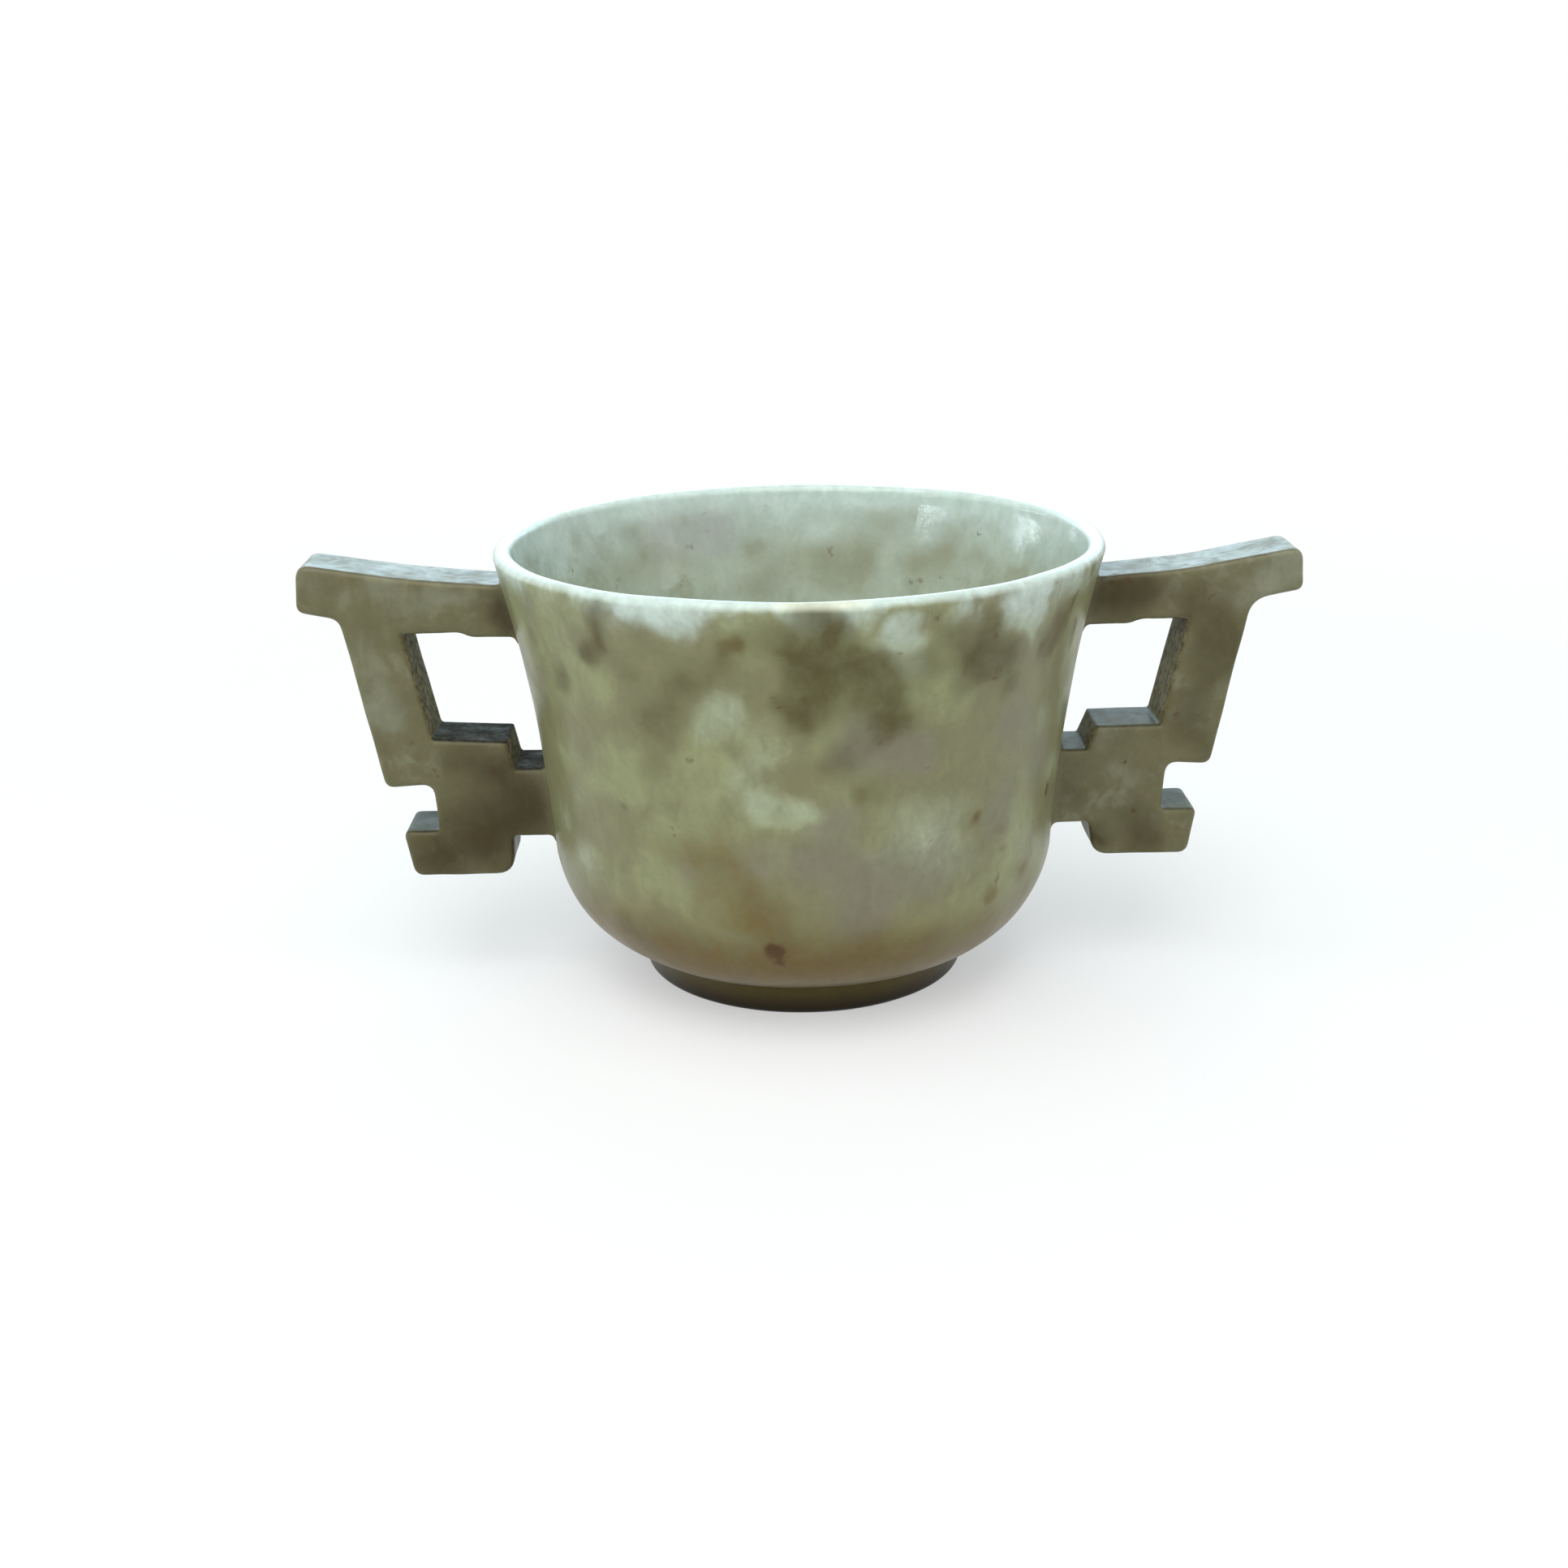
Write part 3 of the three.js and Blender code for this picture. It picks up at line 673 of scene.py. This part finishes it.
def inner_wall(cup, steps):
    """Inner profile, from the lip down to the middle of the dished floor."""
    mouth = cup.rim_radius - cup.lip_thickness
    belly = cup.belly_radius - cup.belly_wall
    floor = cup.foot_height + cup.floor_thickness
    turn = cup.belly_height + 0.5 * cup.belly_wall
    side = cup.height - turn
    wall = bezier(
        (mouth, cup.height - cup.lip_roll),
        (belly + 0.44 * (mouth - belly), turn + 0.63 * side),
        (belly + 0.17 * (mouth - belly), turn + 0.42 * side),
        (belly, turn),
        steps,
    )
    dish = bezier(
        (belly, turn),
        (0.96 * belly, floor + 0.35 * (turn - floor)),
        (0.78 * belly, floor),
        (0, floor),
        steps,
    )
    return wall + dish[1:]


def lip(cup, steps):
    """The rounded lip between the outer and the inner wall, without its ends."""
    centre = cup.rim_radius - 0.5 * cup.lip_thickness
    points = []
    for i in range(1, steps):
        angle = math.pi * i / steps
        points.append((
            centre + 0.5 * cup.lip_thickness * math.cos(angle),
            cup.height - cup.lip_roll + cup.lip_roll * math.sin(angle),
        ))
    return points


def finished(name, made):
    """Turns a bmesh into a smooth-shaded object."""
    bmesh.ops.recalc_face_normals(made, faces=made.faces)
    mesh = bpy.data.meshes.new(name)
    made.to_mesh(mesh)
    made.free()
    mesh.polygons.foreach_set("use_smooth", [True] * len(mesh.polygons))
    piece = bpy.data.objects.new(name, mesh)
    bpy.context.scene.collection.objects.link(piece)
    return piece


def marked(piece, name, values):
    """Stores a number for each point of the mesh."""
    mark = piece.data.attributes.new(name, "FLOAT", "POINT")
    mark.data.foreach_set("value", values)


def revolved(name, profile, segments):
    """Turns a closed profile about Z."""
    made = bmesh.new()
    rings = []
    for radius, height in profile:
        count = 1 if radius == 0 else segments
        rings.append([
            made.verts.new((
                radius * math.cos(2 * math.pi * i / segments),
                radius * math.sin(2 * math.pi * i / segments),
                height,
            ))
            for i in range(count)
        ])
    for low, high in zip(rings, rings[1:]):
        for i in range(segments):
            j = (i + 1) % segments
            corners = [low[i % len(low)], low[j % len(low)], high[j % len(high)], high[i % len(high)]]
            made.faces.new(list(dict.fromkeys(corners)))
    bmesh.ops.remove_doubles(made, verts=made.verts, dist=1e-7)
    return finished(name, made)


def roughed(piece, amount, size, seed):
    """Moves each point a little along its normal, as a hand-cut and polished surface strays."""
    offset = Vector((seed, 2.7 * seed, 0.4 * seed))
    vertices = piece.data.vertices
    places = []
    for vertex in vertices:
        at = vertex.co / size + offset
        stray = noise.noise(at) + 0.5 * noise.noise(2 * at)
        places.append(vertex.co + vertex.normal * (amount * stray))
    for vertex, place in zip(vertices, places):
        vertex.co = place
    piece.data.update()


def dressed(piece, material, node):
    """Gives a piece its stone and puts it in the place of its CAD node."""
    piece.data.materials.clear()
    piece.data.materials.append(material)
    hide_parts(node)
    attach(piece, BODY)


class JADE_OT_bowl(bpy.types.Operator):
    """Carves the hollow bowl with its rounded lip"""

    bl_idname = "jade.bowl"
    bl_label = "Bowl"

    segments = 288
    steps = 30

    def execute(self, context):
        cup = context.scene.jade_cup
        outside = [(0, cup.foot_height), (0.8 * cup.foot_radius, cup.foot_height)]
        outside += outer_wall(cup, self.steps)
        bowl = revolved("bowl_stone", outside + lip(cup, 12) + inner_wall(cup, self.steps), self.segments)
        marked(bowl, "inside", [self.inside(cup, vertex) for vertex in bowl.data.vertices])
        roughed(bowl, cup.carving, 14 * MM, 3.1)
        dressed(bowl, bowl_jade(context.scene.jade_stone), "bowl")
        return {"FINISHED"}

    def inside(self, cup, vertex):
        """1 on the inner wall and the dished floor, 0 outside, easing across the lip."""
        outward = vertex.normal.dot(Vector((vertex.co.x, vertex.co.y, 0)).normalized())
        if vertex.co.z > cup.height - cup.lip_roll:
            return 0.5 - 0.5 * outward
        within = math.hypot(vertex.co.x, vertex.co.y) < cup.belly_radius - 0.5 * cup.belly_wall
        dished = within and vertex.normal.z > 0.2
        return 1.0 if outward < -0.2 or dished else 0.0


class JADE_OT_foot(bpy.types.Operator):
    """Turns the foot ring, softly filleted into the bowl's underside"""

    bl_idname = "jade.foot"
    bl_label = "Foot ring"

    fillet = 0.6 * MM
    flare = 0.35 * MM
    sunk = 0.05 * MM
    segments = 192

    def execute(self, context):
        cup = context.scene.jade_cup
        inner = cup.foot_radius - cup.foot_wall
        rest = cup.foot_radius - cup.foot_draw
        side = cup.foot_radius - 0.15 * MM
        top = cup.foot_height
        edge = cup.foot_edge
        fillet = self.fillet
        profile = bezier((inner - fillet, top), (inner, top), (inner, top), (inner, top - fillet), 5)
        profile += bezier((inner, edge), (inner, 0.4 * edge), (inner + 0.4 * edge, 0), (inner + edge, 0), 6)
        profile += bezier(
            (rest - edge, 0), (rest - 0.4 * edge, 0), (rest, 0.4 * edge), (rest + 0.1 * MM, edge), 6
        )
        profile += [(side, top - fillet), (cup.foot_radius + self.flare, top + self.sunk), profile[0]]
        foot = revolved("foot_stone", profile, self.segments)
        roughed(foot, 0.3 * cup.carving, 9 * MM, 5.7)
        lift = -min(vertex.co.z for vertex in foot.data.vertices)
        foot.data.transform(Matrix.Translation((0, 0, lift)))
        dressed(foot, foot_jade(context.scene.jade_stone), "foot_ring")
        return {"FINISHED"}


def rounded(corners, steps=6):
    """A closed outline from corners (x, z, rounding), each rounded as far as its sides allow."""
    outline = []
    for i, (x, z, drawn) in enumerate(corners):
        corner = Vector((x, z))
        before = Vector(corners[i - 1][:2]) - corner
        after = Vector(corners[(i + 1) % len(corners)][:2]) - corner
        rounding = min(drawn, 0.45 * before.length, 0.45 * after.length)
        if rounding <= 0:
            outline.append(corner)
            continue
        start = corner + before.normalized() * rounding
        end = corner + after.normalized() * rounding
        for k in range(steps + 1):
            t = k / steps
            outline.append((1 - t) ** 2 * start + 2 * t * (1 - t) * corner + t * t * end)
    return outline


def wall_radius(cup, height):
    """Outer radius of the bowl's wall at a height."""
    wall = outer_wall(cup, 24)
    for (r0, z0), (r1, z1) in zip(wall, wall[1:]):
        if z0 <= height <= z1:
            return r0 + (r1 - r0) * (height - z0) / (z1 - z0)
    return cup.rim_radius


def finger_gap(cup, size, stray):
    """The gap between bar and block: its lowest and highest height, and its outer side's x at each."""
    high = cup.height - size.bar_drop - size.bar_depth
    low = high - size.window_height
    notch_top = cup.height - size.notch_drop - stray.down
    slant = size.post_slant / (high - notch_top)
    side = cup.rim_radius + size.reach - size.post_set_back + stray.post - size.post_width
    return low, high, side - slant * size.window_height, side


def handle_outline(cup, size, stray):
    """The right handle seen from the front, as corners (x, z, rounding)."""
    rim = cup.rim_radius
    tip = rim + size.reach
    bar_top = cup.height - size.bar_drop
    bar_under = bar_top - size.bar_depth
    tip_top = bar_top + size.bar_rise + stray.tip
    tip_under = tip_top - size.tip_depth - 2 * stray.tip
    post_head = tip - size.post_set_back + stray.post
    gap_low, gap_high, gap_foot, gap_head = finger_gap(cup, size, stray)
    block_inner = rim - size.block_inner
    strut_top = cup.height - size.strut_drop - stray.down
    strut_under = strut_top - size.strut_depth - stray.strut
    notch_top = cup.height - size.notch_drop - stray.down
    notch_under = notch_top - size.notch_height
    hook_tip = tip - size.hook_set_back + stray.hook
    hook_under = notch_under - size.hook_depth
    notch_back = hook_tip - size.notch_depth

    def root(height):
        return wall_radius(cup, height) - size.root

    corners = [
        (root(bar_top), bar_top + stray.rise, 0),
        (rim, bar_top + stray.rise, 2 * MM),
        (rim + 0.4 * size.reach, bar_top + 0.35 * size.bar_rise - stray.hollow, 6 * MM),
        (tip - 0.4 * MM, tip_top, 1.8 * MM),
        (tip, tip_under, 1.1 * MM),
        (post_head, tip_under - 1 * MM, stray.cove),
        (post_head - size.post_slant, notch_top - 0.3 * MM, 1.1 * MM),
        (notch_back + 0.5 * MM, notch_top, 1.5 * MM),
        (notch_back, notch_under, 0.6 * MM),
        (hook_tip, notch_under, 1.0 * MM),
        (hook_tip - 1.1 * MM, hook_under, 1.2 * MM),
        (block_inner, hook_under, 2.6 * MM),
        (block_inner - 0.7 * MM - stray.heel, strut_under, 0.6 * MM),
        (root(strut_under), strut_under, 0),
        (root(strut_top), strut_top, 0),
        (block_inner - size.shoulder - stray.shoulder, strut_top, 0.2 * MM),
        (block_inner, gap_low - stray.fall, 0.2 * MM),
        (gap_foot, gap_low, 0.3 * MM),
        (gap_head, gap_high, 0.3 * MM),
        (rim + size.haunch_reach, bar_under, 0.7 * MM),
        (rim + size.haunch_reach - 1.5 * MM, bar_under - size.bar_haunch, 0.6 * MM),
        (root(bar_under), bar_under - size.bar_haunch, 0),
    ]
    return rounded(corners)


def remeshed(piece, size):
    """Rebuilds the piece in even squares and softens its arrises."""
    remesh = piece.modifiers.new("even", "REMESH")
    remesh.mode = "VOXEL"
    remesh.voxel_size = size
    remesh.use_smooth_shade = True
    soften = piece.modifiers.new("soften", "SMOOTH")
    soften.factor = 0.5
    soften.iterations = 4
    graph = bpy.context.evaluated_depsgraph_get()
    mesh = bpy.data.meshes.new_from_object(piece.evaluated_get(graph))
    piece.modifiers.clear()
    old = piece.data
    piece.data = mesh
    bpy.data.meshes.remove(old)


def arrises_rounded(piece, outline, half, radius):
    """Sets each point on a face of the plate, or on the rounding between two of its faces."""
    corners = [Vector((p.x, y, p.y)) for y in (-half, half) for p in outline]
    count = len(outline)
    sides = [(i, count + i, count + (i + 1) % count, (i + 1) % count) for i in range(count)]
    walls = BVHTree.FromPolygons(corners, sides)
    for vertex in piece.data.vertices:
        near, inward, _, _ = walls.find_nearest(vertex.co)
        across = vertex.co - near
        across.y = 0
        deep = math.copysign(across.length, across.dot(inward))
        under = half - abs(vertex.co.y)
        if deep > 0.1 * MM:
            inward = across.normalized()
        if deep < radius and under < radius:
            share = radius / math.hypot(radius - deep, radius - under)
            deep = radius - (radius - deep) * share
            under = radius - (radius - under) * share
        elif deep < under:
            deep = 0
        else:
            under = 0
        place = near + inward * deep
        vertex.co = (place.x, math.copysign(half - under, vertex.co.y), place.z)
    piece.data.update()


def root_filleted(piece, cup, radius):
    """Flares the handle's sides where they meet the wall, as a cutter leaves the corner."""
    places = []
    for vertex in piece.data.vertices:
        outward = Vector((vertex.co.x, vertex.co.y, 0))
        gap = outward.length - wall_radius(cup, vertex.co.z)
        reach = radius - max(0.0, min(radius, gap))
        flare = radius - math.sqrt(max(0.0, radius * radius - reach * reach))
        outward.normalize()
        side = vertex.normal - outward * vertex.normal.dot(outward)
        places.append(vertex.co + side * flare)
    for vertex, place in zip(piece.data.vertices, places):
        vertex.co = place
    piece.data.update()


def eased(value, low, high):
    """0 below low, 1 above high, and smooth between."""
    t = max(0.0, min(1.0, (value - low) / (high - low)))
    return t * t * (3 - 2 * t)


class JADE_OT_handles(bpy.types.Operator):
    """Cuts the two flat angular handles that grow out of the wall"""

    bl_idname = "jade.handles"
    bl_label = "Handles"

    def execute(self, context):
        scene = context.scene
        material = handle_jade(scene.jade_stone)
        for name, node, stray, turn, seed in (
            ("handle_right_stone", "handle_right", scene.jade_right, 0.0, 8.3),
            ("handle_left_stone", "handle_left", scene.jade_left, math.pi, 11.9),
        ):
            piece = self.plate(name, scene.jade_cup, scene.jade_handle, stray)
            worked = [self.worked(scene.jade_cup, scene.jade_handle, stray, v) for v in piece.data.vertices]
            marked(piece, "worked", worked)
            piece.data.transform(Matrix.Rotation(turn, 4, "Z"))
            roughed(piece, 0.7 * scene.jade_cup.carving, 7 * MM, seed)
            dressed(piece, material, node)
        return {"FINISHED"}

    def plate(self, name, cup, size, stray):
        """The right handle's solid, as an even mesh with softened edges."""
        outline = handle_outline(cup, size, stray)
        made = bmesh.new()
        front = [made.verts.new((p.x, -0.5 * size.thickness, p.y)) for p in outline]
        back = [made.verts.new((p.x, 0.5 * size.thickness, p.y)) for p in outline]
        made.faces.new(front)
        made.faces.new(list(reversed(back)))
        for i in range(len(outline)):
            j = (i + 1) % len(outline)
            made.faces.new((front[i], back[i], back[j], front[j]))
        piece = finished(name, made)
        remeshed(piece, size.grain)
        arrises_rounded(piece, outline, 0.5 * size.thickness, size.arris)
        root_filleted(piece, cup, size.fillet)
        return piece

    def worked(self, cup, size, stray, vertex):
        """How far a point lies on the saw-cut faces of the finger gap or on the hook's top."""
        low, high, foot, head = finger_gap(cup, size, stray)
        x, _, z = vertex.co
        side = foot + (head - foot) * (z - low) / (high - low) + 1.2 * MM
        strut_top = cup.height - size.strut_drop - stray.down
        within = eased(side - x, 0, 0.8 * MM) * eased(z, strut_top - 0.8 * MM, strut_top - 0.2 * MM)
        within *= 1 - eased(z, high + 0.2 * MM, high + 0.8 * MM)
        edgewise = 1 - eased(abs(vertex.normal.y), 0.45, 0.85)
        upward = max(0.0, vertex.normal.z)
        sawn = within * edgewise * (1 + (stray.worked - 1) * upward)
        notch_under = cup.height - size.notch_drop - stray.down - size.notch_height
        on_hook = eased(z, notch_under - 0.8 * MM, notch_under - 0.3 * MM)
        on_hook *= 1 - eased(z, strut_top - 4 * MM, strut_top)
        on_hook *= eased(x, side + 0.2 * MM, side + 1.2 * MM)
        return max(sawn, 0.55 * on_hook * edgewise * upward)


def softbox(name, place, width, height, power, colour):
    """A soft lamp aimed at the cup's middle and not itself in the picture."""
    lamp = bpy.data.lights.new(name, "AREA")
    lamp.shape = "RECTANGLE"
    lamp.size = width
    lamp.size_y = height
    lamp.energy = power
    lamp.color = colour
    holder = bpy.data.objects.new(name, lamp)
    holder.location = place
    aim = Vector((0, 0, 30 * MM)) - Vector(place)
    holder.rotation_euler = aim.to_track_quat("-Z", "Y").to_euler()
    holder.visible_camera = False
    bpy.context.scene.collection.objects.link(holder)


def photo_camera(view):
    """A camera that sees the cup as the photograph does."""
    cos_p, sin_p = math.cos(view.pitch), math.sin(view.pitch)
    forward = Vector((0, cos_p, -sin_p))
    right, up = Vector((1, 0, 0)), Vector((0, sin_p, cos_p))
    cos_r, sin_r = math.cos(view.roll), math.sin(view.roll)
    side = cos_r * right + sin_r * up
    top = cos_r * up - sin_r * right
    place = Vector((view.aim_x, 0, view.aim_z)) - view.distance * forward
    camera = bpy.data.cameras.new("photo_camera")
    camera.sensor_width = 36
    camera.lens = 36 * view.focal / view.image_size
    camera.shift_x = (0.5 * view.image_size - view.centre_x) / view.image_size
    camera.shift_y = (view.centre_y - 0.5 * view.image_size) / view.image_size
    camera.clip_start = 0.01
    camera.clip_end = 20
    holder = bpy.data.objects.new("photo_camera", camera)
    turn = Matrix((side, top, -forward)).transposed().to_4x4()
    holder.matrix_world = Matrix.Translation(place) @ turn
    bpy.context.scene.collection.objects.link(holder)
    bpy.context.scene.camera = holder


class JADE_OT_stage(bpy.types.Operator):
    """Sets the pale floor, the soft lamps and the photograph's camera"""

    bl_idname = "jade.stage"
    bl_label = "Stage"

    def execute(self, context):
        scene = context.scene
        scene.view_settings.view_transform = "Standard"
        self.floor()
        self.world(scene)
        softbox("top_softbox", (-0.1, -0.2, 0.79), 0.8, 0.6, 4.4, (0.96, 0.99, 1.0))
        softbox("back_softbox", (0.1, 1.1, 0.48), 1.8, 0.6, 9.0, (0.52, 0.84, 1.0))
        softbox("left_strip", (-0.88, -0.31, 0.36), 0.4, 0.02, 0.6, (0.8, 0.93, 1.0))
        softbox("far_left_strip", (-0.85, 0.47, 0.18), 0.3, 0.025, 0.45, (0.8, 0.93, 1.0))
        softbox("right_softbox", (0.8, -0.35, 0.2), 0.25, 0.3, 0.5, (0.97, 0.97, 1.0))
        softbox("front_softbox", (-0.15, -0.65, 0.6), 0.6, 0.5, 2.7, (1.0, 0.99, 0.95))
        photo_camera(scene.jade_camera)
        return {"FINISHED"}

    def floor(self):
        """A wide pale floor that shows the cup's shadow and runs out to plain white."""
        made = bmesh.new()
        bmesh.ops.create_grid(made, x_segments=1, y_segments=1, size=4.0)
        floor = finished("floor", made)
        material = bpy.data.materials.new("floor_white")
        material.use_nodes = True
        nodes = Nodes(material.node_tree)
        place = nodes.add("ShaderNodeTexCoord", {}, {}, "Object")
        distance = nodes.vector("DISTANCE", place, (0, 0, 0), 1)
        matt = nodes.add("ShaderNodeBsdfDiffuse", {}, {"Color": (0.8, 0.8, 0.79, 1)})
        white = nodes.add("ShaderNodeEmission", {}, {"Color": (1, 1, 1, 1), "Strength": 1.0})
        share = nodes.looked_at() * distance.ramp(60 * MM, 350 * MM, 0.45, 1.0)
        surface = nodes.add("ShaderNodeMixShader", {}, {0: share, 1: matt, 2: white})
        nodes.add("ShaderNodeOutputMaterial", {}, {"Surface": surface})
        floor.data.materials.append(material)

    def world(self, scene):
        """An even pale room, and plain white wherever the camera or a reflection looks past the floor."""
        scene.world = bpy.data.worlds.new("studio")
        scene.world.use_nodes = True
        nodes = Nodes(scene.world.node_tree)
        room = nodes.add("ShaderNodeBackground", {}, {"Color": (0.94, 0.97, 1.0, 1), "Strength": 0.5})
        white = nodes.add("ShaderNodeBackground", {}, {"Color": (1, 1, 1, 1), "Strength": 1.0})
        surface = nodes.add("ShaderNodeMixShader", {}, {0: nodes.looked_at(), 1: room, 2: white})
        nodes.add("ShaderNodeOutputWorld", {}, {"Surface": surface})


class JADE_PT_panel(bpy.types.Panel):
    """Sizes, colours and pieces of the cup"""

    bl_idname = "JADE_PT_panel"
    bl_label = "Jade Cup"
    bl_space_type = "VIEW_3D"
    bl_region_type = "UI"
    bl_category = "Jade Cup"

    def draw(self, context):
        for name in GROUPS:
            group = getattr(context.scene, name)
            box = self.layout.box()
            for entry in group.__annotations__:
                box.prop(group, entry)
        for operator in OPERATORS:
            self.layout.operator(operator.bl_idname)


GROUPS = {
    "jade_cup": CupSizes,
    "jade_handle": HandleSizes,
    "jade_right": RightStray,
    "jade_left": LeftStray,
    "jade_stone": StoneColours,
    "jade_camera": PhotoCamera,
}
OPERATORS = (JADE_OT_stage, JADE_OT_bowl, JADE_OT_foot, JADE_OT_handles)


def register():
    for name, group in GROUPS.items():
        bpy.utils.register_class(group)
        setattr(bpy.types.Scene, name, bpy.props.PointerProperty(type=group))
    for operator in OPERATORS:
        bpy.utils.register_class(operator)
    bpy.utils.register_class(JADE_PT_panel)


def unregister():
    bpy.utils.unregister_class(JADE_PT_panel)
    for operator in reversed(OPERATORS):
        bpy.utils.unregister_class(operator)
    for name, group in GROUPS.items():
        delattr(bpy.types.Scene, name)
        bpy.utils.unregister_class(group)


def main():
    register()
    bpy.ops.jade.stage()
    bpy.ops.jade.bowl()
    bpy.ops.jade.foot()
    bpy.ops.jade.handles()


if __name__ == "__main__":
    main()
